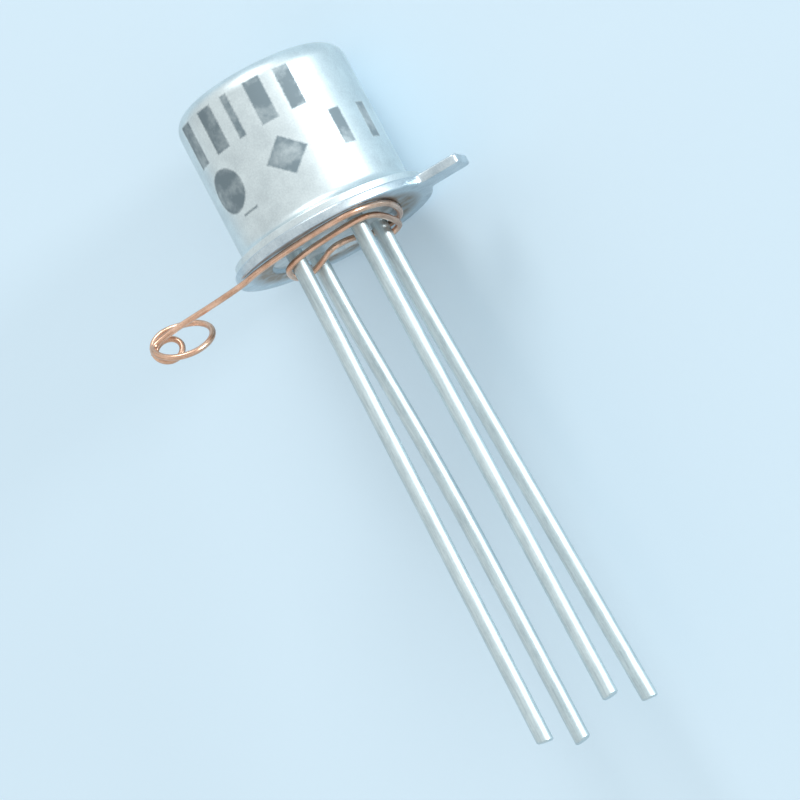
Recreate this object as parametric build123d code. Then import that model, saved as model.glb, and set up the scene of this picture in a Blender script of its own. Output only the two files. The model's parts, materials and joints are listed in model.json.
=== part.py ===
from build123d import *
from math import asin, atan2, cos, hypot, radians, sin, sqrt, tan
import os

# P-channel MOS transistor in a four-lead metal can, as supplied
# The leads are tied together by a fine copper wire that guards the gate until it is fitted
# Lengths are in millimetres and angles in degrees
# The can's own frame has its origin at the centre of the header's underside
# There +z runs up the can, -z runs down the leads, and the index tab points along +x

# Leads, which set the size of what surrounds them
pin_circle_diameter = 2.54
lead_diameter = 0.43
post_height = 0.35
neck_length = 1.35

# Each lead has its angle from the tab, then its bends as (along the tab, across it, below the flange)
# The offsets are from the lead's own place on the pin circle, and the last bend point is the tip
lead_angles = {"drain": 45, "gate": 135, "source": 225, "case": 315}
lead_bends = {
    "drain": [(0.33, 0.65, 13.62)],
    "gate": [(0.0, 0.98, 6.5), (0.0, 1.05, 13.66)],
    "source": [(-0.13, 0.15, 13.6)],
    "case": [(0.14, -0.12, 13.45)],
}
insulated_leads = ("drain", "gate", "source")

# Stamped header with its index tab, from the glass outwards
glass_margin = 0.205
header_wall = 0.25
header_height = 1.0
header_plate_thickness = 0.25
header_flange_thickness = 0.25
header_flange_step = 0.1
header_lip_bevel = 0.1
header_top_bevel = 0.12
flange_edge_bevel = 0.05
tab_length = 1.1
tab_width = 1.0
tab_corner_radius = 0.14
tab_root_radius = 0.2
post_hole_diameter = 0.94

# Drawn cap, which fits over the header's platform and is welded down at its flange
header_clearance = 0.06
can_wall = 0.3
can_height = 4.5
can_top_radius = 0.5
can_foot_radius = 0.25
can_mouth_bevel = 0.15
cap_flange_land = 0.05
cap_flange_thickness = 0.2

# Die and its bonds
preform_size = 0.72
preform_thickness = 0.03
die_size = 0.6
die_thickness = 0.2
pad_size = 0.12
pad_thickness = 0.01
pad_inset = 0.06
pad_corners = {"drain": (1, 1), "gate": (-1, 1), "source": (-1, -1)}
bond_wire_diameter = 0.03
bond_foot_diameter = 0.08
bond_foot_height = 0.02
bond_loop_height = 0.36

# Shorting wire, wound by hand round the leads just below the header
# Each point stands beside a lead: its direction from the tab, then the wire's gap to that lead
# and its gap to the header's underside
shorting_wire_diameter = 0.16
winding_route = [
    ("source", -165, 1.3, 0.02),
    ("source", -122, 1.0, 0.02),
    ("case", -110, 1.35, 0.02),
    ("case", -70, 1.15, 0.02),
    ("case", -20, 0.8, 0.02),
    ("drain", -25, 0.55, 0.02),
    ("drain", 45, 0.25, 0.02),
    ("drain", 145, 0.25, 0.02),
    ("drain", -135, 0.55, 0.03),
    ("source", 50, 0.8, 0.06),
    ("gate", -65, 0.3, 0.14),
    ("gate", -120, 0.15, 0.26),
    ("source", 115, 0.7, 0.32),
    ("source", 155, 0.15, 0.28),
    ("source", -125, 0.1, 0.19),
    ("source", -45, 0.25, 0.08),
    ("case", -98, 0.12, 0.04),
    ("case", -43, 0.17, 0.05),
    ("case", 12, 0.3, 0.1),
    ("drain", -8, 0.25, 0.22),
    ("drain", 58, 0.13, 0.24),
    ("drain", 110, 0.17, 0.24),
]

# Tail of the shorting wire: one wide loop, then a small coil at its free end
# Each turns about a centre placed from the source lead, in the plane across its normal,
# and creeps along that normal
loop_centre = (-3.44, -0.4, -0.47)
loop_across = (0.947, 0.286, -0.15)
loop_normal = (-0.301, 0.604, -0.75)
loop_radius = 0.82
loop_start = 200
loop_end = -100
loop_point_count = 8
loop_creep = 0.05
coil_centre = (-3.98, -0.08, -0.34)
coil_across = (0.947, 0.286, -0.15)
coil_normal = (-0.324, 0.9, -0.33)
coil_radius = 0.4
coil_start = -105
coil_end = -530
coil_point_count = 9
coil_creep = 0.4

# The fine wires are six-sided, which keeps their many bends light
wire_sides = 6

# How the part lies: the side that its weight rolls down, as an angle from the tab
down_angle = 71

# Share of the shorter run beside a corner that a wire's arc takes up
bend_share = 0.45

# Share of a corner's sides that a curve's handles cover to follow a quarter circle
corner_handle = 0.5523

# Sizes that follow from those above
pin_circle_radius = pin_circle_diameter / 2
glass_radius = pin_circle_radius + lead_diameter / 2 + glass_margin
platform_radius = glass_radius + header_wall
can_bore_radius = platform_radius + header_clearance
can_radius = can_bore_radius + can_wall
cap_rim_radius = can_radius + can_foot_radius + cap_flange_land
flange_radius = cap_rim_radius + header_flange_step
plate_underside = header_height - header_plate_thickness
preform_top = header_height + preform_thickness
pad_top = preform_top + die_thickness + pad_thickness
post_top = header_height + post_height


def corner_edge(before, at, after, edge):
    """What breaks a profile's corner: a curve for ("round", size), a line for ("bevel", size)."""
    form, size = edge
    start = at + (before - at).normalized() * size
    end = at + (after - at).normalized() * size
    if form == "round":
        return Bezier(start, start + (at - start) * corner_handle, end + (at - end) * corner_handle, end)
    return Line(start, end)


def turned_profile(corners, broken):
    """A solid of revolution about z from (radius, height) corners, some of them rounded or bevelled."""
    points = [Vector(radius, 0, height) for radius, height in corners]
    neighbours = zip(points[-1:] + points[:-1], points, points[1:] + points[:1])
    stops = []
    for corner, (before, at, after) in zip(corners, neighbours):
        stops.append(corner_edge(before, at, after, broken[corner]) if corner in broken else at)
    edges = [stop for stop in stops if not isinstance(stop, Vector)]
    for here, there in zip(stops, stops[1:] + stops[:1]):
        start = here if isinstance(here, Vector) else here @ 1
        end = there if isinstance(there, Vector) else there @ 0
        edges.append(Line(start, end))
    return revolve(make_face(edges), Axis.Z)


def on_pin_circle(name):
    """Where a lead leaves the header, seen along the can's axis."""
    angle = radians(lead_angles[name])
    return Vector(pin_circle_radius * cos(angle), pin_circle_radius * sin(angle))


def bend_radii(points):
    """The radius of the arc at each inner point of a formed wire."""
    radii = []
    for before, at, after in zip(points, points[1:], points[2:]):
        turn = radians((at - before).get_angle(after - at))
        shorter = min((at - before).length, (after - at).length)
        radii.append(bend_share * shorter / tan(turn / 2))
    return radii


def formed_wire(points, section):
    """Wire of a given section along straight runs that are joined by tangent arcs."""
    points = [Vector(*point) for point in points]
    path = FilletPolyline(*points, radius=bend_radii(points))
    return sweep(Plane(origin=path @ 0, z_dir=path % 0) * section, path=path)


def cap():
    """Drawn can with a rounded top edge and a welding flange turned out at its mouth."""
    base = header_flange_thickness
    shelf = base + cap_flange_thickness
    ceiling = can_height - can_wall
    top, foot = (can_radius, can_height), (can_radius, shelf)
    mouth, corner = (can_bore_radius, base), (can_bore_radius, ceiling)
    corners = [
        (0, can_height), top, foot, (cap_rim_radius, shelf), (cap_rim_radius, base),
        mouth, corner, (0, ceiling),
    ]
    broken = {
        top: ("round", can_top_radius),
        foot: ("round", can_foot_radius),
        mouth: ("bevel", can_mouth_bevel),
        corner: ("bevel", can_top_radius - can_wall),
    }
    return turned_profile(corners, broken)


def flange_with_tab():
    """The header's flat rim and index tab, cut from one strip, with their edges broken."""
    reach = flange_radius + tab_length
    strip = Pos(reach / 2, 0) * Rectangle(reach, tab_width)
    ends = strip.vertices().group_by(Axis.X)[-1]
    outline = Circle(flange_radius) + fillet(ends, tab_corner_radius)
    root_x = sqrt(flange_radius**2 - (tab_width / 2) ** 2)
    roots = [outline.vertices().sort_by_distance((root_x, y))[0] for y in (-tab_width / 2, tab_width / 2)]
    outline = fillet(roots, tab_root_radius)
    plate = extrude(outline, header_flange_thickness)
    rims = plate.faces().sort_by(Axis.Z)[-1].edges() + plate.faces().sort_by(Axis.Z)[0].edges()
    return chamfer(rims, flange_edge_bevel)


def header_shell():
    """Stamped header: flange and tab, raised platform, and a hole for each insulated post."""
    base = header_flange_thickness
    hub_radius = platform_radius + can_mouth_bevel
    top, lip = (platform_radius, header_height), (glass_radius, 0)
    corners = [
        (0, header_height), top, (platform_radius, base), (hub_radius, base), (hub_radius, 0),
        lip, (glass_radius, plate_underside), (0, plate_underside),
    ]
    broken = {
        top: ("bevel", header_top_bevel),
        lip: ("bevel", header_lip_bevel),
    }
    shell = flange_with_tab() - Cylinder(hub_radius, 4 * base) + turned_profile(corners, broken)
    for name in insulated_leads:
        shell -= post_hole(name)
    return shell


def post_hole(name):
    """The hole through the plate for an insulated post."""
    up = (Align.CENTER, Align.CENTER, Align.MIN)
    hole = Cylinder(post_hole_diameter / 2, header_plate_thickness, align=up)
    return Pos(*on_pin_circle(name)) * Pos(0, 0, plate_underside) * hole


def header_glass():
    """Sealing glass under the platform, rising round each insulated post to the platform's top."""
    up = (Align.CENTER, Align.CENTER, Align.MIN)
    start = header_lip_bevel
    glass = Pos(0, 0, start) * Cylinder(glass_radius, plate_underside - start, align=up)
    for name in insulated_leads:
        glass += post_hole(name)
    for name in lead_angles:
        bore = Cylinder(lead_diameter / 2, 4 * header_height)
        glass -= Pos(*on_pin_circle(name)) * bore
    return glass


def lead_points(name):
    """The line of a lead from its top, through the glass, down to its cut tip."""
    root = on_pin_circle(name)
    top = post_top if name in insulated_leads else plate_underside
    line = [(root.X, root.Y, top), (root.X, root.Y, -neck_length)]
    line += [(root.X + along, root.Y + across, -below) for along, across, below in lead_bends[name]]
    return line


def lead(name):
    """One round lead. The case lead ends against the plate, the others stand above it as posts."""
    return formed_wire(lead_points(name), Circle(lead_diameter / 2))


def die_preform():
    """Gold preform that bonds the die to the header."""
    up = (Align.CENTER, Align.CENTER, Align.MIN)
    return Pos(0, 0, header_height) * Box(preform_size, preform_size, preform_thickness, align=up)


def pad_centre(name):
    """Where a bonding pad lies on the die."""
    reach = (die_size - pad_size) / 2 - pad_inset
    along, across = pad_corners[name]
    return Vector(along * reach, across * reach)


def mosfet_die():
    """Silicon die with its three bonding pads."""
    up = (Align.CENTER, Align.CENTER, Align.MIN)
    die = Pos(0, 0, preform_top) * Box(die_size, die_size, die_thickness, align=up)
    for name in insulated_leads:
        pad = Box(pad_size, pad_size, pad_thickness, align=up)
        die += Pos(*pad_centre(name)) * Pos(0, 0, preform_top + die_thickness) * pad
    return die


def bond_wire(name):
    """Fine wire arched from a pad on the die to the top of a post, with a pressed foot at each end."""
    pad = pad_centre(name) + Vector(0, 0, pad_top)
    post = on_pin_circle(name) + Vector(0, 0, post_top)
    lift = Vector(0, 0, bond_foot_height)
    crest = (pad + post) / 2 + Vector(0, 0, bond_loop_height)
    wire = formed_wire([pad + lift, crest, post + lift], RegularPolygon(bond_wire_diameter / 2, wire_sides))
    for end in (pad, post):
        wire += Pos(*end) * extrude(RegularPolygon(bond_foot_diameter / 2, wire_sides), bond_foot_height)
    return wire


def beside_lead(name, direction, gap, drop):
    """A point on the winding, from a direction and two gaps beside a lead."""
    reach = (lead_diameter + shorting_wire_diameter) / 2 + gap
    below = shorting_wire_diameter / 2 + drop
    angle = radians(direction)
    return on_pin_circle(name) + Vector(reach * cos(angle), reach * sin(angle), -below)


def turns(centre, across, normal, radius, first, last, count, creep):
    """Points round part of a circle, each a little further along its axis, placed from the source lead."""
    plane = Plane(origin=on_pin_circle("source") + Vector(*centre), x_dir=across, z_dir=normal)
    points = []
    for step in range(count):
        share = step / (count - 1)
        angle = radians(first + (last - first) * share)
        local = (radius * cos(angle), radius * sin(angle), creep * share)
        points.append(plane.from_local_coords(local))
    return points


def shorting_wire_points():
    """The shorting wire's line, from its free end in the tail to its end behind the drain lead."""
    loop = turns(
        loop_centre, loop_across, loop_normal, loop_radius,
        loop_start, loop_end, loop_point_count, loop_creep,
    )
    coil = turns(
        coil_centre, coil_across, coil_normal, coil_radius,
        coil_start, coil_end, coil_point_count, coil_creep,
    )
    winding = [beside_lead(*point) for point in winding_route]
    return coil[::-1] + loop[::-1] + winding


def shorting_wire():
    """Bare copper wire wound round the leads, with its coiled tail."""
    return formed_wire(shorting_wire_points(), RegularPolygon(shorting_wire_diameter / 2, wire_sides))


def lying_tilt():
    """Angle by which the leads rise when the can's top edge and the header's rim both touch the ground."""
    along = (can_height - can_top_radius) - (header_flange_thickness - flange_edge_bevel)
    out = flange_radius - (can_radius - can_top_radius)
    return atan2(out, along) - asin(can_top_radius / hypot(along, out))


def lying_place(pieces):
    """Lays the can's frame down: leads along +x and rising, down_angle side below, box centred."""
    tilt = lying_tilt()
    turn = radians(down_angle - 90)
    tab = Vector(-sin(turn) * sin(tilt), cos(turn), sin(turn) * cos(tilt))
    can_axis = Vector(-cos(tilt), 0, -sin(tilt))
    laid = Plane(origin=(0, 0, 0), x_dir=tab, z_dir=can_axis).location
    box = Compound(children=[laid * piece for piece in pieces]).bounding_box()
    middle = box.center()
    return Pos(-middle.X, -middle.Y, -box.min.Z) * laid


def build():
    """Every piece in the can's own frame, by name."""
    pieces = {
        "cap": cap(),
        "header_shell": header_shell(),
        "header_glass": header_glass(),
    }
    for name in lead_angles:
        pieces[f"lead_{name}"] = lead(name)
    pieces["die_preform"] = die_preform()
    pieces["mosfet_die"] = mosfet_die()
    for name in insulated_leads:
        pieces[f"bond_wire_{name}"] = bond_wire(name)
    pieces["shorting_wire"] = shorting_wire()
    return pieces


def main():
    """Writes one file for each piece, as the part lies at rest."""
    os.makedirs("parts", exist_ok=True)
    pieces = build()
    place = lying_place(pieces.values())
    for name, piece in pieces.items():
        export_step(place * piece, os.path.join("parts", f"{name}.step"))
        print(name, round(piece.volume, 4))
    print("shorting wire radii", [round(radius, 2) for radius in bend_radii(shorting_wire_points())])


if __name__ == "__main__":
    main()
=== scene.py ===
import json
import logging
from dataclasses import dataclass, field
from enum import Enum
from itertools import accumulate

import bpy
import numpy as np
from mathutils import Matrix

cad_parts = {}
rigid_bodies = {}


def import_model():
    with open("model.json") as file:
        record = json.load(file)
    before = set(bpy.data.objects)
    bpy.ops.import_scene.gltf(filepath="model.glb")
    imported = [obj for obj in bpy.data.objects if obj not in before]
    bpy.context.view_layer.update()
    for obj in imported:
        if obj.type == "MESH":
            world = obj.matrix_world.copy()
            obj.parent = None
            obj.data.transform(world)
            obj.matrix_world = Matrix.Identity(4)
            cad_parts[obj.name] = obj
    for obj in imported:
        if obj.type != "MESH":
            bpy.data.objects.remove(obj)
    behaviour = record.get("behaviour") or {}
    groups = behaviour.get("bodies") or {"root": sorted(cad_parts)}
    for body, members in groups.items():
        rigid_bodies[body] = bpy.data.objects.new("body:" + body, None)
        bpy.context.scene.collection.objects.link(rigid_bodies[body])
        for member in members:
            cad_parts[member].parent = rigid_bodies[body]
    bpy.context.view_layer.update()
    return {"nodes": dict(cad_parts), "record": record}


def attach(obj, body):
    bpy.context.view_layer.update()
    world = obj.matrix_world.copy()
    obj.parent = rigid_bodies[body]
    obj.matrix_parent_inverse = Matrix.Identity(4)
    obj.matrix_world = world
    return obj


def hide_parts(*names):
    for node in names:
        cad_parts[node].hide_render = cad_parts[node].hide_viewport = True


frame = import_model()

# A small transistor in a four-lead metal can, with the fine copper wire that ties its leads
# Shapes are worked out in millimetres in the can's own frame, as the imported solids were
# There the origin is the centre of the header's underside, +z runs up the can and +x to the tab

# Edges steeper than SHARP_DEGREES shade as sharp, and small rounds have ROUND_STEPS points
# A flat face has a point BESIDE each of its edges, in millimetres, to hold its shading
METRES = 0.001
BODY = "root"
SHARP_DEGREES = 38.0
ROUND_STEPS = 65
BESIDE = 0.012
Socket = bpy.types.NodeSocket
Triple = tuple[float, float, float]
log = logging.getLogger("dressing")


def unit(vectors: np.ndarray) -> np.ndarray:
    """Vectors scaled to length one, along the last axis."""
    vectors = np.asarray(vectors, float)
    return vectors / np.linalg.norm(vectors, axis=-1, keepdims=True)


@dataclass(frozen=True)
class CanFrame:
    """The can's own frame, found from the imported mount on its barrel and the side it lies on."""

    barrel: str = "can_barrel"
    barrel_middle: float = 2.35
    down_angle: float = 71.0

    def mount(self) -> dict:
        """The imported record's mount on the can's barrel."""
        return next(m for m in frame["record"]["mounts"] if m["name"] == self.barrel)

    def axes(self) -> np.ndarray:
        """The can's own directions, from the way its barrel points and the side that is down.

        Returns:
            Rows that are the directions of the tab, across it, and up the can, in the row's frame.
        """
        up = unit(self.mount()["axis"])
        level = unit(np.cross((0.0, 0.0, 1.0), up))
        steep = np.cross(up, level)
        turn = np.radians(self.down_angle - 90.0)
        tab = -level * np.cos(turn) + steep * np.sin(turn)
        return np.stack([tab, np.cross(up, tab), up])

    def origin(self) -> np.ndarray:
        """Centre of the header's underside, in metres, below the middle of the barrel."""
        middle = np.array(self.mount()["pos_m"], float)
        return middle - self.axes()[2] * self.barrel_middle * METRES

    def place(self, points: np.ndarray) -> np.ndarray:
        """Takes points from millimetres in the can's frame to metres in the row's frame.

        Args:
            points: positions, one a row.

        Returns:
            The same positions: the origin plus each coordinate along its own axis.
        """
        return self.origin() + np.asarray(points, float) @ self.axes() * METRES


CAN = CanFrame()


def added(name: str, data: bpy.types.ID) -> bpy.types.Object:
    """Puts a new object into the scene.

    Args:
        name: the object's name.
        data: its mesh, camera or lamp.

    Returns:
        The object.
    """
    thing = bpy.data.objects.new(name, data)
    bpy.context.scene.collection.objects.link(thing)
    return thing


@dataclass
class Skin:
    """A closed surface of rings, each closed round itself, with a point that closes either end.

    Its pattern map gives each ring and each place round a ring a number of its own.
    """

    rings: np.ndarray
    first: np.ndarray
    last: np.ndarray
    around: np.ndarray
    along: np.ndarray

    def points(self) -> np.ndarray:
        """Every vertex: the first end, ring after ring, then the last end."""
        return np.vstack([self.first[None], self.rings.reshape(-1, 3), self.last[None]])

    def places(self) -> list[np.ndarray]:
        """Each face's corners on the grid of rings.

        Returns:
            Corners as (column, row), for the four-sided faces and then for either end's fan.
        """
        rows, columns = self.rings.shape[:2]
        row, column = np.meshgrid(np.arange(1, rows), np.arange(columns), indexing="ij")
        start = np.stack([column.ravel(), row.ravel()], 1)[:, None]
        sides = start + np.array([[0, 0], [1, 0], [1, 1], [0, 1]])
        edge = np.stack([np.arange(columns), np.zeros(columns, int)], 1)[:, None]
        first = edge + np.array([[0, 0], [1, 1], [0, 1]])
        last = edge + np.array([[0, rows], [1, rows], [0, rows + 1]])
        return [sides, first, last]

    def numbers(self, places: np.ndarray) -> np.ndarray:
        """Vertex numbers: 1 + (row - 1) columns + column, kept between the two end points' numbers.

        Args:
            places: (column, row) places, whose first and last rows are single points.

        Returns:
            The number of each place's vertex.
        """
        rows, columns = self.rings.shape[:2]
        inner = 1 + (places[..., 1] - 1) * columns + places[..., 0] % columns
        return np.clip(inner, 0, 1 + rows * columns)

    def volume(self) -> float:
        """Signed volume: a sixth of a dotted with b crossed with c, for each triangle a, b, c.

        Returns:
            The volume, which is below zero where the faces point inwards.
        """
        points = self.points()
        total = 0.0
        for group in self.places():
            corners = [points[column] for column in self.numbers(group).T]
            for b, c in zip(corners[1:], corners[2:]):
                total += float(np.sum(corners[0] * np.cross(b, c))) / 6
        return total

    def moved(self, step: np.ndarray) -> "Skin":
        """The same surface, moved by a step."""
        return Skin(self.rings + step, self.first + step, self.last + step, self.around, self.along)

    def show(self, name: str) -> bpy.types.Object:
        """Puts the surface into the scene, faces outwards and smooth but for its sharp edges.

        Every corner of its mesh has its place in the pattern map "skin".

        Args:
            name: the piece's name.

        Returns:
            The new object, in metres in the row's frame.
        """
        places = self.places()
        if self.volume() < 0:
            places = [group[:, ::-1] for group in places]
        mesh = bpy.data.meshes.new(name)
        faces = [row for group in places for row in self.numbers(group).tolist()]
        mesh.from_pydata(CAN.place(self.points()), [], faces)
        spots = np.vstack([group.reshape(-1, 2) for group in places])
        pattern = mesh.uv_layers.new(name="skin")
        values = np.stack([self.around[spots[:, 0]], self.along[spots[:, 1]]], 1)
        pattern.data.foreach_set("uv", values.astype(np.float32).ravel())
        mesh.update()
        mesh.shade_smooth()
        mesh.set_sharp_from_angle(angle=np.radians(SHARP_DEGREES))
        return added(name, mesh)


class Edge(Enum):
    """How a profile's corner is broken."""

    SHARP = 0
    ROUND = 1
    BEVEL = 2


@dataclass(frozen=True)
class Corner:
    """One corner of a turned profile, in millimetres."""

    radius: float
    height: float
    edge: Edge = Edge.SHARP
    size: float = 0.0


def profile(corners: list[Corner], steps: int = 10) -> np.ndarray:
    """A profile's (radius, height) points, with its corners rounded or bevelled.

    A rounded corner at P, between A and B that lie its size away along the two sides, is
    P + (A - P)(1 - sin a) + (B - P)(1 - cos a) for a from 0 to 90 degrees, a quarter circle
    where the sides are square. A bevel goes straight from A to B.

    Args:
        corners: the profile's corners in order, open at both ends.
        steps: points along a rounded corner.

    Returns:
        The points, one a row.
    """
    at = np.array([(c.radius, c.height) for c in corners])
    pieces = [at[:1]]
    turn = np.linspace(0.0, np.pi / 2, steps)[:, None]
    for before, here, after, corner in zip(at, at[1:], at[2:], corners[1:]):
        start = unit(before - here) * corner.size
        end = unit(after - here) * corner.size
        if corner.edge is Edge.ROUND:
            pieces.append(here + start * (1 - np.sin(turn)) + end * (1 - np.cos(turn)))
        elif corner.edge is Edge.BEVEL:
            pieces.append(np.stack([here + start, here + end]))
        else:
            pieces.append(here[None])
    return np.vstack(pieces + [at[-1:]])


def held(points: np.ndarray, most: float = 0.3) -> np.ndarray:
    """Adds a point close beside each end of every side, so that flat faces shade flat.

    Args:
        points: a profile's points.
        most: the largest share of a side that a new point may lie from its end.

    Returns:
        The points with the new ones between them.
    """
    side = np.diff(points, axis=0)
    share = np.minimum(BESIDE / np.linalg.norm(side, axis=1, keepdims=True), most)
    inner = np.stack([points[:-1] + side * share, points[1:] - side * share], 1)
    joined = np.concatenate([points[:-1, None], inner], 1).reshape(-1, 2)
    return np.vstack([joined, points[-1:]])


def turned(radius: np.ndarray, height: np.ndarray, angles: np.ndarray) -> np.ndarray:
    """Rings about the axis: (r cos a, r sin a, z) for each radius, height and angle."""
    x, y = radius * np.cos(angles), radius * np.sin(angles)
    return np.stack([x, y, height + np.zeros_like(x)], -1)


def turned_skin(points: np.ndarray, angles: np.ndarray, scale: float = 1.0) -> Skin:
    """A turned surface from a profile that begins and ends on the axis.

    Args:
        points: the profile, (radius, height).
        angles: directions round the axis, the last one a full turn after the first.
        scale: what a radian counts for in the pattern map.

    Returns:
        The surface, whose pattern map is (angle, height).
    """
    first, last = np.array([[0.0, 0.0, z] for z in points[[0, -1], 1]])
    rings = turned(points[1:-1, :1], points[1:-1, 1:], angles[:-1])
    return Skin(rings, first, last, angles * scale, points[:, 1].copy())


class Nodes:
    """Short ways to add nodes to a material or the world."""

    def __init__(self, owner: bpy.types.Material | bpy.types.World,
                 shader: str = "ShaderNodeBsdfPrincipled",
                 output: str = "ShaderNodeOutputMaterial") -> None:
        """Starts the owner's nodes with a shader and an output.

        Args:
            owner: the material or the world.
            shader: Blender's name for the shader's node.
            output: Blender's name for the output's node.
        """
        owner.use_nodes = True
        self.tree = owner.node_tree
        self.tree.nodes.clear()
        self.shader = self.new(shader)
        self.feed(self.new(output).inputs["Surface"], self.shader.outputs[0])

    def feed(self, place: Socket, value: object) -> None:
        """Gives an input what it reads.

        Args:
            place: the input.
            value: a number, a colour or what another node puts out.
        """
        if isinstance(value, Socket):
            self.tree.links.new(value, place)
        else:
            place.default_value = value

    def new(self, kind: str, **inputs: object) -> bpy.types.Node:
        """Adds a node.

        Args:
            kind: Blender's name for that kind of node.
            inputs: what some of its inputs read, by name.

        Returns:
            The node.
        """
        node = self.tree.nodes.new(kind)
        for name, value in inputs.items():
            self.feed(node.inputs[name], value)
        return node

    def set(self, name: str, value: object) -> None:
        """Feeds one of the shader's own inputs."""
        self.feed(self.shader.inputs[name], value)

    def math(self, operation: str, *values: object, clamp: bool = False) -> Socket:
        """A Math node whose inputs are numbers or sockets.

        Args:
            operation: the node's operation.
            values: its inputs in order.
            clamp: True keeps the result between 0 and 1.

        Returns:
            The result's socket.
        """
        node = self.new("ShaderNodeMath")
        node.operation, node.use_clamp = operation, clamp
        for place, value in zip(node.inputs, values):
            self.feed(place, value)
        return node.outputs[0]

    def millimetres(self, stretch: Triple = (1.0, 1.0, 1.0)) -> Socket:
        """Object coordinates turned into the can's frame, in millimetres, each then stretched.

        Args:
            stretch: how often the pattern repeats along each of the can's axes.

        Returns:
            The vector's socket.
        """
        mapping = self.new(
            "ShaderNodeMapping", Vector=self.new("ShaderNodeTexCoord").outputs["Object"],
            Location=CAN.origin(), Rotation=Matrix(CAN.axes().T.tolist()).to_euler(),
            Scale=[METRES / times for times in stretch],
        )
        mapping.vector_type = "TEXTURE"
        return mapping.outputs["Vector"]

    def skin(self, stretch: tuple[float, float] = (1.0, 1.0)) -> Socket:
        """A piece's own pattern map.

        Args:
            stretch: how often the pattern repeats along each of the map's two directions.

        Returns:
            The vector's socket.
        """
        pattern = self.new("ShaderNodeUVMap")
        pattern.uv_map = "skin"
        mapping = self.new("ShaderNodeMapping", Vector=pattern.outputs["UV"], Scale=(*stretch, 1.0))
        return mapping.outputs["Vector"]

    def parts(self, vector: Socket) -> tuple[Socket, ...]:
        """A vector's three coordinates."""
        return tuple(self.new("ShaderNodeSeparateXYZ", Vector=vector).outputs)

    def noise(self, where: Socket, scale: float, detail: float = 4.0,
              roughness: float = 0.55) -> Socket:
        """A noise pattern's value.

        Args:
            where: the place it is read at.
            scale: lumps for each unit of the place.
            detail: how many finer layers it has.
            roughness: how strong the finer layers are.

        Returns:
            The value's socket, about 0.5 on average.
        """
        return self.new("ShaderNodeTexNoise", Vector=where, Scale=scale, Detail=detail,
                        Roughness=roughness).outputs[0]

    def ramp(self, value: Socket, stops: list[tuple[float, tuple]]) -> Socket:
        """A colour ramp over a value.

        Args:
            value: the value.
            stops: two places and their linear colours.

        Returns:
            The colour's socket.
        """
        node = self.new("ShaderNodeValToRGB")
        self.feed(node.inputs[0], value)
        for element, (place, colour) in zip(node.color_ramp.elements, stops):
            element.position = place
            element.color = (*colour, 1.0)
        return node.outputs[0]

    def blend(self, share: Socket, low: Socket, high: Triple) -> Socket:
        """Goes from one colour, at a share of 0, to another at 1.

        Args:
            share: the share's socket.
            low: the first colour's socket.
            high: the second colour, which is fixed.

        Returns:
            The colour's socket.
        """
        node = self.new("ShaderNodeMix")
        node.data_type = "RGBA"
        for place, value in ((0, share), (6, low), (7, (*high, 1.0))):
            self.feed(node.inputs[place], value)
        return node.outputs[2]

    def length(self, x: Socket, y: Socket) -> Socket:
        """The length of (x, y)."""
        return self.math("SQRT", self.math("MULTIPLY_ADD", x, x, self.math("MULTIPLY", y, y)))

    def between(self, value: Socket, low: float, high: float) -> Socket:
        """Maps a value of 0 to 1 onto a range."""
        return self.math("MULTIPLY_ADD", value, high - low, low)

    def mixed(self, first: Socket, second: Socket, share: float) -> Socket:
        """A share of the first value and the rest of the second."""
        return self.math("MULTIPLY_ADD", first, share, self.math("MULTIPLY", second, 1.0 - share))

    def bump(self, height: Socket, depth: float) -> None:
        """Gives the shader a relief.

        Args:
            height: the relief's pattern, 0 to 1.
            depth: how deep the relief is, in metres.
        """
        self.set("Normal", self.new("ShaderNodeBump", Height=height, Distance=depth).outputs[0])


class Shape(Enum):
    """The simple shapes that stand for the ink on the can."""

    BAR = "bar"
    DISC = "disc"
    DIAMOND = "diamond"


@dataclass(frozen=True)
class InkMark:
    """One plain ink shape: its angle from the tab, and its height, width and tallness in mm."""

    shape: Shape
    angle: float
    height: float
    width: float
    tall: float

    def distance(self, nodes: Nodes, around: Socket, up: Socket, wall_radius: float) -> Socket:
        """Signed distance from the mark's outline, in millimetres, below zero inside it.

        With x and y measured from the mark's centre, a bar is the larger of |x| - w/2 and
        |y| - h/2, a disc is the length of (x, y) less its radius, and a diamond is
        |x| h/w + |y| less half its height, which the slope of its sides makes a distance.

        Args:
            nodes: the material's nodes.
            around: distance round the wall from the tab.
            up: height on the wall.
            wall_radius: the wall's radius.

        Returns:
            The distance's socket.
        """
        centre = np.radians(self.angle % 360.0) * wall_radius
        x, y = nodes.math("SUBTRACT", around, centre), nodes.math("SUBTRACT", up, self.height)
        across, above = nodes.math("ABSOLUTE", x), nodes.math("ABSOLUTE", y)
        if self.shape is Shape.BAR:
            side = nodes.math("SUBTRACT", across, self.width / 2)
            return nodes.math("MAXIMUM", side, nodes.math("SUBTRACT", above, self.tall / 2))
        if self.shape is Shape.DIAMOND:
            lean = self.tall / self.width
            slope = np.hypot(1, lean)
            reach = nodes.math("MULTIPLY_ADD", across, lean, above)
            return nodes.math("MULTIPLY_ADD", reach, 1 / slope, -self.tall / 2 / slope)
        return nodes.math("SUBTRACT", nodes.length(x, y), self.width / 2)


@dataclass(frozen=True)
class Patterns:
    """A metal's noise: a coarse cloud, a fine grain, and both together."""

    cloud: Socket
    grain: Socket
    mix: Socket


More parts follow.
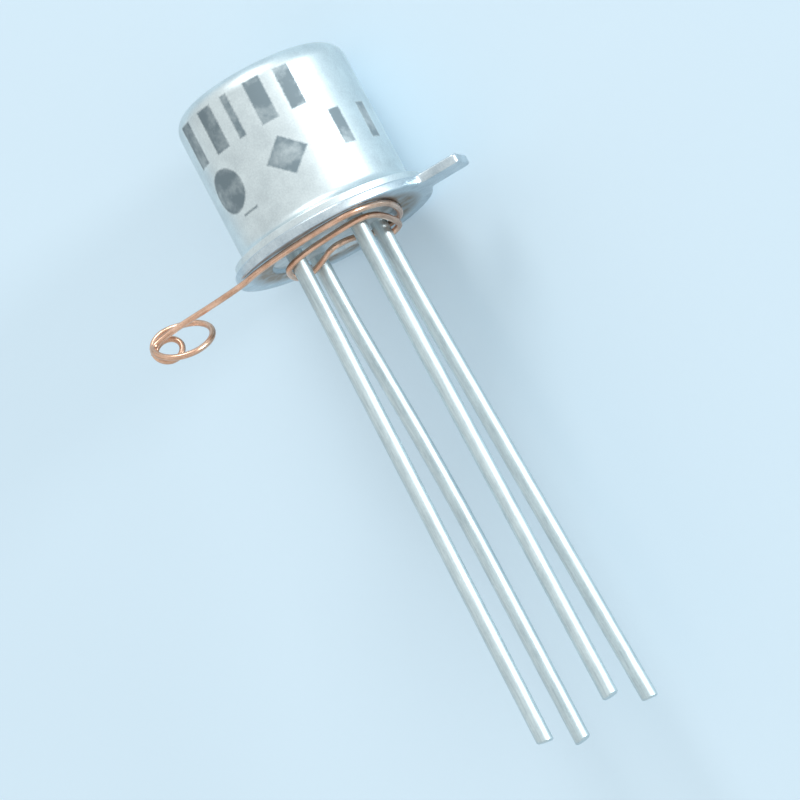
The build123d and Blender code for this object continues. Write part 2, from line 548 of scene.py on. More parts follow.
@dataclass(frozen=True)
class Metal:
    """A satin metal: two shades that mottle it, its gloss, and the grain of its surface."""

    name: str
    slot: str
    dark: Triple
    light: Triple
    smooth: float = 0.26
    rough: float = 0.40
    mottle: float = 1.6
    grain: float = 22.0
    stretch: Triple = (1.0, 1.0, 1.0)
    relief: float = 0.0000015
    spread: tuple[float, float] = (0.36, 0.62)
    grain_share: float = 0.4

    def make(self) -> bpy.types.Material:
        """Builds the material.

        Returns:
            A metal whose colour, gloss and relief come from noise in the can's frame.
        """
        material = bpy.data.materials.new(self.name)
        nodes = Nodes(material)
        where = nodes.millimetres(self.stretch)
        cloud = nodes.noise(where, self.mottle, detail=5.0, roughness=0.6)
        grain = nodes.noise(where, self.grain, detail=3.0, roughness=0.6)
        mix = nodes.mixed(grain, cloud, self.grain_share)
        nodes.set("Metallic", 1.0)
        self.finish(nodes, Patterns(cloud, grain, mix))
        nodes.bump(mix, self.relief)
        return material

    def shades(self, nodes: Nodes, value: Socket) -> Socket:
        """The metal's colour, from its dark to its light shade as a pattern's value rises."""
        return nodes.ramp(value, [(self.spread[0], self.dark), (self.spread[1], self.light)])

    def gloss(self, nodes: Nodes, value: Socket) -> Socket:
        """The metal's roughness, which falls as a pattern's value rises."""
        return nodes.between(value, self.rough, self.smooth)

    def finish(self, nodes: Nodes, patterns: Patterns) -> None:
        """Sets the colour and gloss from the patterns."""
        nodes.set("Base Color", self.shades(nodes, patterns.mix))
        nodes.set("Roughness", self.gloss(nodes, patterns.mix))


@dataclass(frozen=True)
class PrintedMetal(Metal):
    """Satin metal with plain ink shapes on the can's wall.

    The ink's edge wavers by so many millimetres and fades at so much a millimetre. The ink adds
    its own roughness to the metal's and takes away from how metallic it is.
    """

    marks: tuple[InkMark, ...] = ()
    ink: Triple = (0.15, 0.20, 0.225)
    wall_radius: float = 2.3
    waver: float = 0.06
    fade: float = 18.0
    wear: float = 1.8
    unworn: float = 1.85
    ink_roughness: float = 0.22
    ink_cover: float = 0.8

    def finish(self, nodes: Nodes, patterns: Patterns) -> None:
        """Sets the colour and gloss, with ink over the metal where a mark's distance is negative.

        The edge of the ink wavers with the grain, and the ink is thin where the cloud is high.

        Args:
            nodes: the material's nodes.
            patterns: the metal's noise.
        """
        around, up, _ = nodes.parts(nodes.skin())
        nearest = None
        for mark in self.marks:
            distance = mark.distance(nodes, around, up, self.wall_radius)
            nearest = distance if nearest is None else nodes.math("MINIMUM", nearest, distance)
        waver = nodes.math("MULTIPLY_ADD", patterns.grain, self.waver, -self.waver / 2)
        edge = nodes.math("ADD", nearest, waver)
        inside = nodes.math("MULTIPLY_ADD", edge, -self.fade, 0.5, clamp=True)
        worn = nodes.math("MULTIPLY_ADD", patterns.cloud, -self.wear, self.unworn, clamp=True)
        share = nodes.math("MULTIPLY", inside, worn)
        metal, gloss = self.shades(nodes, patterns.mix), self.gloss(nodes, patterns.mix)
        nodes.set("Base Color", nodes.blend(share, metal, self.ink))
        nodes.set("Roughness", nodes.math("MULTIPLY_ADD", share, self.ink_roughness, gloss))
        nodes.set("Metallic", nodes.math("MULTIPLY_ADD", share, -self.ink_cover, 1.0))


@dataclass(frozen=True)
class DrawnMetal(Metal):
    """Metal wire, with fine lines along it from drawing, read from the piece's own pattern map."""

    spread: tuple[float, float] = (0.38, 0.6)
    lines: tuple[float, float] = (30.0, 1.2)
    line_share: float = 0.45

    def finish(self, nodes: Nodes, patterns: Patterns) -> None:
        """Sets the colour and gloss from the clouds and from lines stretched along the wire.

        Args:
            nodes: the material's nodes.
            patterns: the metal's noise.
        """
        lines = nodes.noise(nodes.skin(self.lines), 1.0, detail=3.0)
        drawn = nodes.mixed(lines, patterns.mix, self.line_share)
        nodes.set("Base Color", self.shades(nodes, drawn))
        nodes.set("Roughness", self.gloss(nodes, drawn))


@dataclass(frozen=True)
class UndersideShadedMetal(Metal):
    """Satin metal with painted shade and copper reflection on its underside, under the wire."""

    # Painted shade: a dark copper brown for the shadow and copper reflection under the winding
    painted_shade: Triple = (0.25, 0.18, 0.12)
    reach: float = 2.4
    fade_out: float = 3.0
    fade_up: float = 25.0
    patch_contrast: float = 3.0
    patch_start: float = 0.65

    def finish(self, nodes: Nodes, patterns: Patterns) -> None:
        """Sets the colour and gloss, with painted shade over the metal in the cloud's denser
        patches.

        With r the distance from the can's axis and z the height, its share is f (reach - r) times
        1 - u z times the patches, each kept between 0 and 1, for the fades f outwards and u up.

        Args:
            nodes: the material's nodes.
            patterns: the metal's noise.
        """
        x, y, z = nodes.parts(nodes.millimetres())
        share = None
        for value, slope, start in (
            (nodes.length(x, y), -self.fade_out, self.fade_out * self.reach),
            (z, -self.fade_up, 1.0),
            (patterns.cloud, self.patch_contrast, -self.patch_start),
        ):
            level = nodes.math("MULTIPLY_ADD", value, slope, start, clamp=True)
            share = level if share is None else nodes.math("MULTIPLY", share, level)
        metal = self.shades(nodes, patterns.mix)
        nodes.set("Base Color", nodes.blend(share, metal, self.painted_shade))
        nodes.set("Roughness", self.gloss(nodes, patterns.mix))


@dataclass(frozen=True)
class Glaze:
    """A glossy finish that isn't wire or sheet metal, such as sealing glass, gold or silicon."""

    name: str
    slot: str
    dark: Triple
    light: Triple
    roughness: float
    mottle: float = 3.0
    metallic: float = 0.0
    gloss_range: tuple[float, float] = (0.8, 1.3)
    relief: float = 0.000002

    def make(self) -> bpy.types.Material:
        """Builds the material.

        Returns:
            A finish mottled between its two shades, in colour, gloss and relief.
        """
        material = bpy.data.materials.new(self.name)
        nodes = Nodes(material)
        cloud = nodes.noise(nodes.millimetres(), self.mottle)
        nodes.set("Base Color", nodes.ramp(cloud, [(0.3, self.dark), (0.7, self.light)]))
        low, high = (self.roughness * times for times in self.gloss_range)
        nodes.set("Roughness", nodes.between(cloud, low, high))
        nodes.set("Metallic", self.metallic)
        nodes.bump(cloud, self.relief)
        return material


Finish = Metal | Glaze


def coat(piece: bpy.types.Object, finish: Finish) -> None:
    """Gives a piece its only material, made the first time that it is asked for.

    Args:
        piece: the object.
        finish: what it is made of.
    """
    material = bpy.data.materials.get(finish.name) or finish.make()
    piece.data.materials.clear()
    piece.data.materials.append(material)


def dress(piece: bpy.types.Object, finish: Finish, *nodes: str) -> None:
    """Gives a new piece its material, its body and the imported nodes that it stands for.

    Args:
        piece: the object.
        finish: what it is made of.
        nodes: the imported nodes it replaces.
    """
    coat(piece, finish)
    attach(piece, BODY)
    if nodes:
        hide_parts(*nodes)
    log.info("%s: %d faces, %s", piece.name, len(piece.data.polygons), finish.name)


NICKEL_CAP = PrintedMetal(
    "cap_nickel_satin", "cap_nickel", (0.56, 0.63, 0.65), (0.71, 0.79, 0.805), 0.36, 0.46,
    marks=(
        InkMark(Shape.BAR, -137, 3.50, 0.46, 1.18),
        InkMark(Shape.BAR, -114, 3.50, 0.46, 1.18),
        InkMark(Shape.BAR, -97, 3.50, 0.20, 1.18),
        InkMark(Shape.BAR, -77, 3.50, 0.46, 1.18),
        InkMark(Shape.BAR, -57, 3.50, 0.42, 1.14),
        InkMark(Shape.DISC, -127, 2.02, 1.16, 1.16),
        InkMark(Shape.DIAMOND, -78, 1.98, 1.14, 1.08),
        InkMark(Shape.BAR, -37, 2.10, 0.34, 0.98),
        InkMark(Shape.BAR, -12, 2.10, 0.34, 0.98),
        InkMark(Shape.BAR, -117.5, 1.27, 0.52, 0.05),
    ),
)
# The header's metal carries painted shade and copper reflection under the wire's winding
NICKEL_HEADER = UndersideShadedMetal(
    "header_nickel_satin", "header_nickel", (0.42, 0.50, 0.55), (0.62, 0.70, 0.74), 0.30, 0.42, 2.4,
)
TINNED_LEAD = DrawnMetal(
    "lead_tin_drawn", "lead_tin", (0.44, 0.53, 0.56), (0.62, 0.72, 0.74), 0.40, 0.54, 3.2, 26.0,
    (1.0, 1.0, 0.45), 0.0000025,
)
COPPER = DrawnMetal(
    "copper_drawn", "copper", (0.42, 0.22, 0.13), (0.88, 0.59, 0.44), 0.22, 0.34, 2.2, 30.0,
    relief=0.0000012,
)
SEAL_GLASS = Glaze("seal_glass_pale", "seal_glass", (0.34, 0.42, 0.45), (0.52, 0.60, 0.63), 0.12)
GOLD = Glaze(
    "preform_gold_worn", "preform_gold", (0.80, 0.52, 0.20), (0.95, 0.70, 0.32), 0.30, 9.0, 1.0,
)
SILICON = Glaze(
    "silicon_polished", "silicon", (0.10, 0.11, 0.13), (0.20, 0.21, 0.25), 0.10, 12.0, 0.6,
)
ALUMINIUM = Metal(
    "aluminium_bond", "bond_aluminium", (0.70, 0.71, 0.72), (0.88, 0.89, 0.90), grain=60.0,
)


@dataclass
class Cap:
    """The drawn can with its rounded top, flared foot and welding flange, in millimetres."""

    radius: float = 2.3
    height: float = 4.5
    wall: float = 0.3
    top_round: float = 0.5
    foot_round: float = 0.25
    land: float = 0.05
    base: float = 0.25
    flange: float = 0.2
    mouth_bevel: float = 0.15
    rim_round: float = 0.035
    rim_break: float = 0.015
    columns: int = 240
    bare: float = -1.0

    def outside(self) -> list[Corner]:
        """The outside of the section.

        Returns:
            Its corners, from the middle of the top to the flange's underside.
        """
        shelf, rim = self.base + self.flange, self.radius + self.foot_round + self.land
        return [
            Corner(0.0, self.height),
            Corner(self.radius, self.height, Edge.ROUND, self.top_round),
            Corner(self.radius, shelf, Edge.ROUND, self.foot_round),
            Corner(rim, shelf, Edge.ROUND, self.rim_round),
            Corner(rim, self.base, Edge.ROUND, self.rim_break),
            Corner(self.radius, self.base),
        ]

    def inside(self) -> list[Corner]:
        """The inside of the section.

        Returns:
            Its corners, from the flange's underside to the middle of the ceiling.
        """
        bore, ceiling = self.radius - self.wall, self.height - self.wall
        return [
            Corner(self.radius, self.base),
            Corner(bore, self.base, Edge.BEVEL, self.mouth_bevel),
            Corner(bore, ceiling, Edge.ROUND, self.top_round - self.wall),
            Corner(0.0, ceiling),
        ]

    def build(self, finish: PrintedMetal) -> None:
        """Turns the section about the can's axis, with a map whose inside lies below the ink.

        Args:
            finish: the cap's metal.
        """
        outside = held(profile(self.outside(), steps=14))
        inside = held(profile(self.inside(), steps=8))[1:]
        angles = np.linspace(0.0, 2 * np.pi, self.columns + 1)
        skin = turned_skin(np.vstack([outside, inside]), angles, self.radius)
        skin.along[len(outside):] = self.bare
        dress(skin.show("can_cap"), finish, "cap")


@dataclass
class Header:
    """The stamped header: its flange with the index tab, its platform and its post holes."""

    radius: float = 2.7
    tab_reach: float = 3.8
    tab_half: float = 0.5
    tab_corner: float = 0.14
    root_round: float = 0.2
    thickness: float = 0.25
    edge_round: float = 0.05
    platform: float = 1.94
    height: float = 1.0
    top_bevel: float = 0.12
    bore: float = 1.69
    lip_bevel: float = 0.1
    ceiling: float = 0.75
    post_circle: float = 1.27
    post_angles: tuple[float, ...] = (45.0, 135.0, 225.0)
    post_hole: float = 0.47
    overrun: float = 0.2
    band: float = 0.2
    rim_steps: int = 7
    fans: tuple = ((0.0, 5.5, 7), (5.5, 8.3, 25), (8.3, 15.0, 39), (15.0, 180.0, 99))

    def angles(self) -> np.ndarray:
        """Directions round the header, in fans of (first, last, count), close at the tab.

        Returns:
            The directions in radians, the second half of them the mirror of the first.
        """
        fans = [np.linspace(*fan, endpoint=False) for fan in self.fans]
        half = np.radians(np.concatenate(fans + [[180.0]]))
        return np.concatenate([half, 2 * np.pi - half[-2::-1]])

    def outline(self, angles: np.ndarray, inset: float) -> np.ndarray:
        """How far the flange's outline is from the axis in each direction, moved in by an inset.

        The tab is a strip whose tip, side and corner arc are each met by a ray from the axis. At
        its root a hollow arc touches both the tab's side and the flange's circle.

        Args:
            angles: directions from the tab.
            inset: how far inside the true outline it runs.

        Returns:
            The distance in each direction.
        """
        away = np.abs((angles + np.pi) % (2 * np.pi) - np.pi)
        c, s = np.maximum(np.cos(away), 1e-6), np.maximum(np.sin(away), 1e-6)

        def meet(x: float, y: float, radius: float, side: float) -> np.ndarray:
            """Where each ray meets a circle: b + side sqrt(b^2 - x^2 - y^2 + r^2), b along it."""
            b = c * x + s * y
            return b + side * np.sqrt(np.maximum(b**2 - x**2 - y**2 + radius**2, 0.0))

        strip = np.minimum((self.tab_reach - inset) / c, (self.tab_half - inset) / s)
        cx, cy = self.tab_reach - self.tab_corner, self.tab_half - self.tab_corner
        corner = meet(cx, cy, self.tab_corner - inset, 1.0)
        in_corner = (corner * c > cx) & (corner * s > cy)
        strip = np.where(in_corner, corner, strip)
        fy = self.tab_half + self.root_round
        fx = np.sqrt((self.radius + self.root_round) ** 2 - fy**2)
        hollow = meet(fx, fy, self.root_round + inset, -1.0)
        side_ends = np.arctan2(self.tab_half - inset, fx)
        rim = np.full_like(away, self.radius - inset)
        return np.where(away > np.arctan2(fy, fx), rim, np.where(away > side_ends, hollow, strip))

    def skin(self) -> Skin:
        """The surface from the middle of the platform, out over the flange's rim and back under it.

        Returns:
            The surface: circles, but at the flange's rim the outline moved in by e(1 - sin a),
            which makes the edges round, at a depth of e(1 - cos a).
        """
        angles = self.angles()[:-1]
        above = held(profile([
            Corner(0.0, self.height),
            Corner(self.platform, self.height, Edge.BEVEL, self.top_bevel),
            Corner(self.platform, self.thickness),
            Corner(self.radius - self.band, self.thickness),
        ]))[1:]
        below = held(profile([
            Corner(self.radius - self.band, 0.0),
            Corner(self.bore, 0.0, Edge.BEVEL, self.lip_bevel),
            Corner(self.bore, self.ceiling),
            Corner(0.0, self.ceiling),
        ]))[:-1]
        turn = np.linspace(0.0, np.pi / 2, self.rim_steps)
        inset = self.edge_round * (1 - np.sin(turn))
        depth = self.edge_round * (1 - np.cos(turn))
        near = [self.edge_round + BESIDE]
        insets = np.concatenate([near, inset, inset[::-1], near])
        heights = np.concatenate([[self.thickness], self.thickness - depth, depth[::-1], [0.0]])
        reach = np.stack([self.outline(angles, float(each)) for each in insets])
        rings = np.concatenate([
            turned(above[:, :1], above[:, 1:], angles),
            turned(reach, heights[:, None], angles),
            turned(below[:, :1], below[:, 1:], angles),
        ])
        first, last = np.array([[0.0, 0.0, self.height], [0.0, 0.0, self.ceiling]])
        along = np.concatenate([[self.height], rings[:, 0, 2], [self.ceiling]])
        return Skin(rings, first, last, self.angles() * self.radius, along)

    def cutters(self) -> bpy.types.Collection:
        """Cutters for the holes through the platform that the insulated posts stand in.

        Returns:
            A collection of upright cylinders.
        """
        angles = np.linspace(0.0, 2 * np.pi, ROUND_STEPS)
        low, high = self.ceiling - self.overrun, self.height + self.overrun
        section = np.array([[0.0, low], [self.post_hole, low], [self.post_hole, high], [0.0, high]])
        collection = bpy.data.collections.new("post_holes")
        for number, angle in enumerate(np.radians(self.post_angles)):
            step = self.post_circle * np.array([np.cos(angle), np.sin(angle), 0.0])
            collection.objects.link(turned_skin(section, angles).moved(step).show(f"hole_{number}"))
        return collection

    def build(self, finish: Metal) -> None:
        """Makes the header's surface and cuts the post holes through its platform.

        Args:
            finish: the header's metal.
        """
        piece = self.skin().show("header_base")
        collection = self.cutters()
        cut = piece.modifiers.new("post_holes", "BOOLEAN")
        cut.operation, cut.solver = "DIFFERENCE", "EXACT"
        cut.operand_type, cut.collection = "COLLECTION", collection
        whole = piece.evaluated_get(bpy.context.evaluated_depsgraph_get())
        mesh = bpy.data.meshes.new_from_object(whole)
        piece.modifiers.clear()
        piece.data = mesh
        mesh.set_sharp_from_angle(angle=np.radians(SHARP_DEGREES))
        for cutter in list(collection.objects):
            bpy.data.objects.remove(cutter)
        bpy.data.collections.remove(collection)
        dress(piece, finish, "header_shell")


def bent(points: np.ndarray, legs: np.ndarray, steps: int = 24) -> np.ndarray:
    """A smooth line round a wire's corners.

    At a corner P the line leaves the run before it at A and joins the run after it at B, each a
    leg away from P, and between them it is (1 - t)^2 A + 2t(1 - t) P + t^2 B for t from 0 to 1.

    Args:
        points: the ends and corners, one a row.
        legs: for each corner its leg along the run before it and along the run after it.
        steps: points along each curve.

    Returns:
        The line's points.
    """
    corner = points[1:-1, None]
    start = corner + (unit(points[:-2] - points[1:-1]) * legs[:, :1])[:, None]
    end = corner + (unit(points[2:] - points[1:-1]) * legs[:, 1:])[:, None]
    t = np.linspace(0.0, 1.0, steps)[None, :, None]
    curves = (1 - t) ** 2 * start + 2 * t * (1 - t) * corner + t**2 * end
    return np.vstack([points[:1], curves.reshape(-1, 3), points[-1:]])


def evenly(line: np.ndarray, step: float) -> np.ndarray:
    """Spaces a line's points evenly along it, between its old points on straight runs.

    Args:
        line: the line's points.
        step: about how far apart the new ones are.

    Returns:
        The new points.
    """
    run = np.linalg.norm(np.diff(line, axis=0), axis=1)
    line, run = line[np.concatenate([[True], run > 1e-6])], run[run > 1e-6]
    walked = np.concatenate([[0.0], np.cumsum(run)])
    at = np.linspace(0.0, walked[-1], int(walked[-1] / step) + 2)
    return np.stack([np.interp(at, walked, line[:, axis]) for axis in range(3)], 1)


@dataclass
class Wire:
    """Round wire carried along a line, with its cut ends broken and sheared a little."""

    line: np.ndarray
    radius: float
    sides: int
    end_break: float
    shear: float
    end_ring: float = 0.9

    def skin(self) -> Skin:
        """The wire's surface: P + r (U cos a + V sin a) at each point P of the line.

        U starts square to the line and is carried along it, each time less its share along the
        new direction, and V is the direction crossed with U. At the ends r shrinks by the break,
        and one more ring, at its share of r, holds the cut flat.

        Returns:
            The surface, whose pattern map is (turn round the wire, millimetres along it).
        """
        ends = self.end_break * unit(self.line[[1, -2]] - self.line[[0, -1]])
        path = np.vstack([self.line[:1], self.line[:1] + ends[:1], self.line[1:-1],
                          self.line[-1:] + ends[1:], self.line[-1:]])
        radii = np.full(len(path), self.radius)
        radii[[0, -1]] -= self.end_break
        along = unit(np.gradient(path, axis=0))
        first = np.eye(3)[np.argmin(np.abs(along[0]))]
        carried = accumulate(along, lambda u, d: unit(u - d * (u @ d)), initial=first)
        u = np.array(list(carried))[1:]
        v = np.cross(along, u)
        turn = np.linspace(0.0, 2 * np.pi, self.sides + 1)
        ring = u[:, None] * np.cos(turn[:-1, None]) + v[:, None] * np.sin(turn[:-1, None])
        slant = np.zeros(len(path))
        slant[[0, 1, -2, -1]] = self.shear
        tilt = slant[:, None] * np.cos(turn[:-1])
        rings = path[:, None] + (ring + along[:, None] * tilt[..., None]) * radii[:, None, None]
        inner = path[:, None] + (rings - path[:, None]) * self.end_ring
        rings = np.concatenate([inner[:1], rings, inner[-1:]])
        walked = np.concatenate([[0.0], np.cumsum(np.linalg.norm(np.diff(path, axis=0), axis=1))])
        walked = np.pad(walked, 2, mode="edge")
        return Skin(rings, path[0], path[-1], turn / (2 * np.pi), walked)


@dataclass(frozen=True)
class Lead:
    """One lead: its angle from the tab, its bends (along, across, below), and its cut's slant."""

    angle: float
    bends: tuple[Triple, ...]
    shear: float


@dataclass
class Leads:
    """The four round leads on their circle, and how each is bent below the header."""

    pin_circle: float = 1.27
    radius: float = 0.215
    post_top: float = 1.35
    plate_underside: float = 0.75
    neck: float = 1.35
    share: float = 0.45
    step: float = 0.16
    sides: int = 48
    end_break: float = 0.035
    each: dict[str, Lead] = field(default_factory=lambda: {
        "drain": Lead(45.0, ((0.33, 0.65, 13.62),), 0.10),
        "gate": Lead(135.0, ((0.0, 0.98, 6.5), (0.0, 1.05, 13.66)), -0.14),
        "source": Lead(225.0, ((-0.13, 0.15, 13.6),), 0.16),
        "case": Lead(315.0, ((0.14, -0.12, 13.45),), -0.08),
    })

    def root(self, name: str) -> np.ndarray:
        """Where a lead leaves the header, on the pin circle."""
        angle = np.radians(self.each[name].angle)
        return self.pin_circle * np.array([np.cos(angle), np.sin(angle), 0.0])

    def line(self, name: str) -> np.ndarray:
        """A lead's line.

        Args:
            name: the lead's name.

        Returns:
            The line's points, from its top down to its cut tip.
        """
        top = self.plate_underside if name == "case" else self.post_top
        offsets = [(0.0, 0.0, top), (0.0, 0.0, -self.neck)]
        offsets += [(along, across, -below) for along, across, below in self.each[name].bends]
        points = self.root(name) + np.array(offsets)
        runs = np.linalg.norm(np.diff(points, axis=0), axis=1)
        leg = self.share * np.minimum(runs[:-1], runs[1:])
        return evenly(bent(points, np.stack([leg, leg], 1)), self.step)

    def build(self, finish: DrawnMetal) -> None:
        """Makes and dresses the four leads.

        Args:
            finish: their tinned metal.
        """
        for name, lead in self.each.items():
            wire = Wire(self.line(name), self.radius, self.sides, self.end_break, lead.shear)
            dress(wire.skin().show(f"tinned_lead_{name}"), finish, f"lead_{name}")


@dataclass
class SealBeads:
    """Glass that creeps down each lead a little where it leaves the seal."""

    leads: Leads
    face: float = 0.1
    drop: float = 0.075
    spread: float = 0.16
    sunk: float = 0.02
    steps: int = 12

    def build(self, finish: Glaze) -> None:
        """Turns a hollow-sided bead about each lead: radius r + s t^2 at height face - d (1 - t)^2.

        Args:
            finish: the sealing glass.
        """
        t = np.linspace(0.0, 1.0, self.steps)
        height = self.face - self.drop * (1 - t) ** 2
        side = np.stack([self.leads.radius + self.spread * t**2, height], 1)
        section = np.vstack([[0.0, side[0, 1]], side, [0.0, self.face + self.sunk]])
        angles = np.linspace(0.0, 2 * np.pi, ROUND_STEPS)
        for name in self.leads.each:
            bead = turned_skin(section, angles).moved(self.leads.root(name))
            dress(bead.show(f"seal_bead_{name}"), finish)


@dataclass
class Inside:
    """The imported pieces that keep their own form, in and under the can."""

    finishes: dict[str, Finish] = field(default_factory=lambda: {
        "header_glass": SEAL_GLASS,
        "die_preform": GOLD,
        "mosfet_die": SILICON,
        **{f"bond_wire_{lead}": ALUMINIUM for lead in ("drain", "gate", "source")},
    })

    def build(self) -> None:
        """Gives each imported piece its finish."""
        for name, finish in self.finishes.items():
            coat(frame["nodes"][name], finish)
            log.info("%s: kept from the frame, %s", name, finish.name)


@dataclass(frozen=True)
class Turns:
    """Turns of the wire in the plane across a normal, which they creep along.

    The centre is placed from the source lead, and the angles are in degrees from the direction
    across.
    """

    centre: Triple
    across: Triple
    normal: Triple
    radius: float
    first: float
    last: float
    count: int
    creep: float

    def points(self, root: np.ndarray) -> np.ndarray:
        """Points round the circle: C + r (X cos a + Y sin a) + creep k N, for k from 0 to 1.

        Args:
            root: where the source lead leaves the header.

        Returns:
            The points, with N the normal, X the direction across and Y square to both.
        """
        n = unit(self.normal)
        x = unit(np.array(self.across) - n * (np.array(self.across) @ n))
        k = np.linspace(0.0, 1.0, self.count)[:, None]
        a = np.radians(self.first + (self.last - self.first) * k)
        circle = self.radius * (np.cos(a) * x + np.sin(a) * np.cross(n, x))
        return root + np.array(self.centre) + circle + self.creep * k * n


@dataclass
class ShortingWire:
    """The bare copper wire wound round the leads below the header, with its coiled tail.

    Each point of the winding is a lead's name, a direction from the tab, and the wire's gap to
    that lead and to the header.
    """

    leads: Leads
    diameter: float = 0.16
    winding: tuple = (
        ("source", -165, 1.3, 0.02), ("source", -122, 1.0, 0.02),
        ("case", -110, 1.35, 0.02), ("case", -70, 1.15, 0.02),
        ("case", -20, 0.8, 0.02), ("drain", -25, 0.55, 0.02),
        ("drain", 45, 0.25, 0.02), ("drain", 145, 0.25, 0.02),
        ("drain", -135, 0.55, 0.03), ("source", 50, 0.8, 0.06),
        ("gate", -65, 0.3, 0.14), ("gate", -120, 0.15, 0.26),
        ("source", 115, 0.7, 0.32), ("source", 155, 0.15, 0.28),
        ("source", -125, 0.1, 0.19), ("source", -45, 0.25, 0.08),
        ("case", -98, 0.12, 0.04), ("case", -43, 0.17, 0.05),
        ("case", 12, 0.3, 0.1), ("drain", -8, 0.25, 0.22),
        ("drain", 58, 0.13, 0.24), ("drain", 110, 0.17, 0.24),
    )
    loop: Turns = Turns((-3.44, -0.4, -0.47), (0.947, 0.286, -0.15), (-0.301, 0.604, -0.75),
                        radius=0.82, first=200, last=-100, count=8, creep=0.05)
    coil: Turns = Turns((-3.98, -0.08, -0.34), (0.947, 0.286, -0.15), (-0.324, 0.9, -0.33),
                        radius=0.4, first=-105, last=-530, count=9, creep=0.4)
    step: float = 0.03
    sides: int = 20
    end_break: float = 0.012
    shear: float = 0.2

    def beside(self, name: str, direction: float, gap: float, drop: float) -> np.ndarray:
        """A point of the winding beside a lead, at a reach of the two radii and the gap.

        Args:
            name: the lead's name.
            direction: the point's direction from the lead, in degrees from the tab.
            gap: the wire's gap to the lead.
            drop: the wire's gap to the header.

        Returns:
            The point.
        """
        reach = self.leads.radius + self.diameter / 2 + gap
        angle = np.radians(direction)
        step = np.array([reach * np.cos(angle), reach * np.sin(angle), -self.diameter / 2 - drop])
        return self.leads.root(name) + step

    def line(self) -> np.ndarray:
        """The wire's smooth line, each corner curved from the middle of one run to the next.

        Returns:
            The line's points, from the coil at its free end to its inner end.
        """
        winding = np.array([self.beside(*point) for point in self.winding])
        root = self.leads.root("source")
        points = np.vstack([self.coil.points(root)[::-1], self.loop.points(root)[::-1], winding])
        half = np.linalg.norm(np.diff(points, axis=0), axis=1) / 2
        return evenly(bent(points, np.stack([half[:-1], half[1:]], 1)), self.step)

    def build(self, finish: DrawnMetal) -> None:
        """Makes and dresses the wire.

        Args:
            finish: bare copper.
        """
        wire = Wire(self.line(), self.diameter / 2, self.sides, self.end_break, self.shear)
        dress(wire.skin().show("copper_wire"), finish, "shorting_wire")


@dataclass(frozen=True)
class Softbox:
    """A square soft lamp: its place right, up and back from the object as the camera sees it."""

    name: str
    place: Triple
    size: float
    watts: float


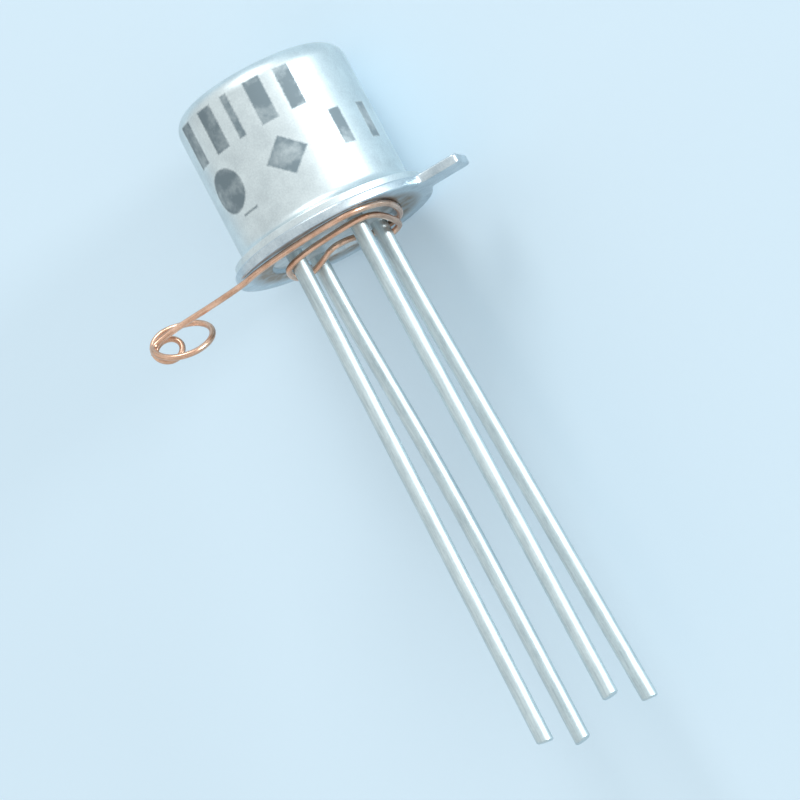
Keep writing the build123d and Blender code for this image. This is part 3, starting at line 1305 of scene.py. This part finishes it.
@dataclass
class Studio:
    """Camera, pale floor and soft light. The camera's place and axes are in the can's frame."""

    centre: Triple = (50.42, -187.33, -39.39)
    right: Triple = (0.8332, 0.31191, -0.45661)
    down: Triple = (-0.48908, 0.03035, -0.87171)
    lens: float = 360.0
    floor_colour: Triple = (0.672, 0.822, 0.925)
    sky_colour: Triple = (0.96, 0.99, 1.0)
    sky_light: float = 0.825
    sky_seen: float = 0.89
    floor_reach: float = 1.5
    floor_cloud: float = 0.05
    floor_shade: float = 0.985
    floor_roughness: float = 0.9
    lamps: tuple[Softbox, ...] = (
        Softbox("key", (0.47, 0.36, 0.465), 0.12, 4.4),
        Softbox("rim", (-0.20, 0.36, 0.20), 0.16, 0.80),
    )

    def axes(self) -> np.ndarray:
        """The camera's own directions.

        Returns:
            Rows that are its right, up and back directions in the row's frame.
        """
        turned_round = np.array([self.right, self.down]) @ CAN.axes()
        right = unit(turned_round[0])
        up = -unit(turned_round[1] - right * (turned_round[1] @ right))
        return np.stack([right, up, np.cross(right, up)])

    def look(self, name: str, data: bpy.types.ID, place: np.ndarray,
             axes: np.ndarray) -> bpy.types.Object:
        """Places a camera or lamp so that its own axes are the given right, up and back.

        Args:
            name: the object's name.
            data: the camera or lamp.
            place: where it is, in metres.
            axes: its right, up and back directions, one a row.

        Returns:
            The object.
        """
        thing = added(name, data)
        frame_of_it = np.eye(4)
        frame_of_it[:3, :3], frame_of_it[:3, 3] = axes.T, place
        thing.matrix_world = Matrix(frame_of_it.tolist())
        return thing

    def camera(self) -> None:
        """Sets the camera at the photograph's place and angle."""
        data = bpy.data.cameras.new("camera")
        data.lens, data.sensor_width = self.lens, 36.0
        data.clip_start, data.clip_end = 0.01, 10.0
        place = CAN.place(np.array([self.centre]))[0]
        bpy.context.scene.camera = self.look("camera", data, place, self.axes())

    def light(self) -> None:
        """Adds the soft lamps, each facing the object."""
        for box in self.lamps:
            data = bpy.data.lights.new(box.name, "AREA")
            data.shape, data.size, data.energy = "SQUARE", box.size, box.watts
            place = np.array(box.place) @ self.axes()
            back = unit(place)
            right = unit(np.cross(self.axes()[1], back))
            self.look(box.name, data, place, np.stack([right, np.cross(back, right), back]))

    def world(self) -> None:
        """Lights everything evenly from a sky that the camera, metal and glass see as paler."""
        world = bpy.data.worlds.new("soft_sky")
        bpy.context.scene.world = world
        nodes = Nodes(world, "ShaderNodeBackground", "ShaderNodeOutputWorld")
        nodes.set("Color", (*self.sky_colour, 1.0))
        rays = nodes.new("ShaderNodeLightPath").outputs
        seen = rays["Is Camera Ray"]
        for ray in ("Is Glossy Ray", "Is Transmission Ray"):
            seen = nodes.math("MAXIMUM", seen, rays[ray])
        nodes.set("Strength", nodes.between(seen, self.sky_light, self.sky_seen))

    def floor(self) -> None:
        """Lays a wide pale floor under the part, faintly mottled."""
        mesh = bpy.data.meshes.new("floor")
        corners = self.floor_reach * np.array([[-1, -1, 0], [1, -1, 0], [1, 1, 0], [-1, 1, 0]])
        mesh.from_pydata(corners, [], [(0, 1, 2, 3)])
        floor = added("floor", mesh)
        material = bpy.data.materials.new("pale_floor")
        nodes = Nodes(material)
        cloud = nodes.noise(nodes.millimetres(), self.floor_cloud, detail=3.0)
        darker = tuple(self.floor_shade * channel for channel in self.floor_colour)
        nodes.set("Base Color", nodes.ramp(cloud, [(0.3, darker), (0.7, self.floor_colour)]))
        nodes.set("Roughness", self.floor_roughness)
        nodes.set("Specular IOR Level", 0.0)
        mesh.materials.append(material)

    def build(self) -> None:
        """Sets up the whole studio."""
        self.camera()
        self.floor()
        self.world()
        self.light()
        bpy.context.scene.view_settings.view_transform = "Standard"


def main() -> None:
    """Builds the part's pieces, dresses them and sets the stage."""
    logging.basicConfig(level=logging.INFO, format="%(message)s")
    Studio().build()
    Cap().build(NICKEL_CAP)
    Header().build(NICKEL_HEADER)
    leads = Leads()
    leads.build(TINNED_LEAD)
    SealBeads(leads).build(SEAL_GLASS)
    ShortingWire(leads).build(COPPER)
    Inside().build()


if __name__ == "__main__":
    main()
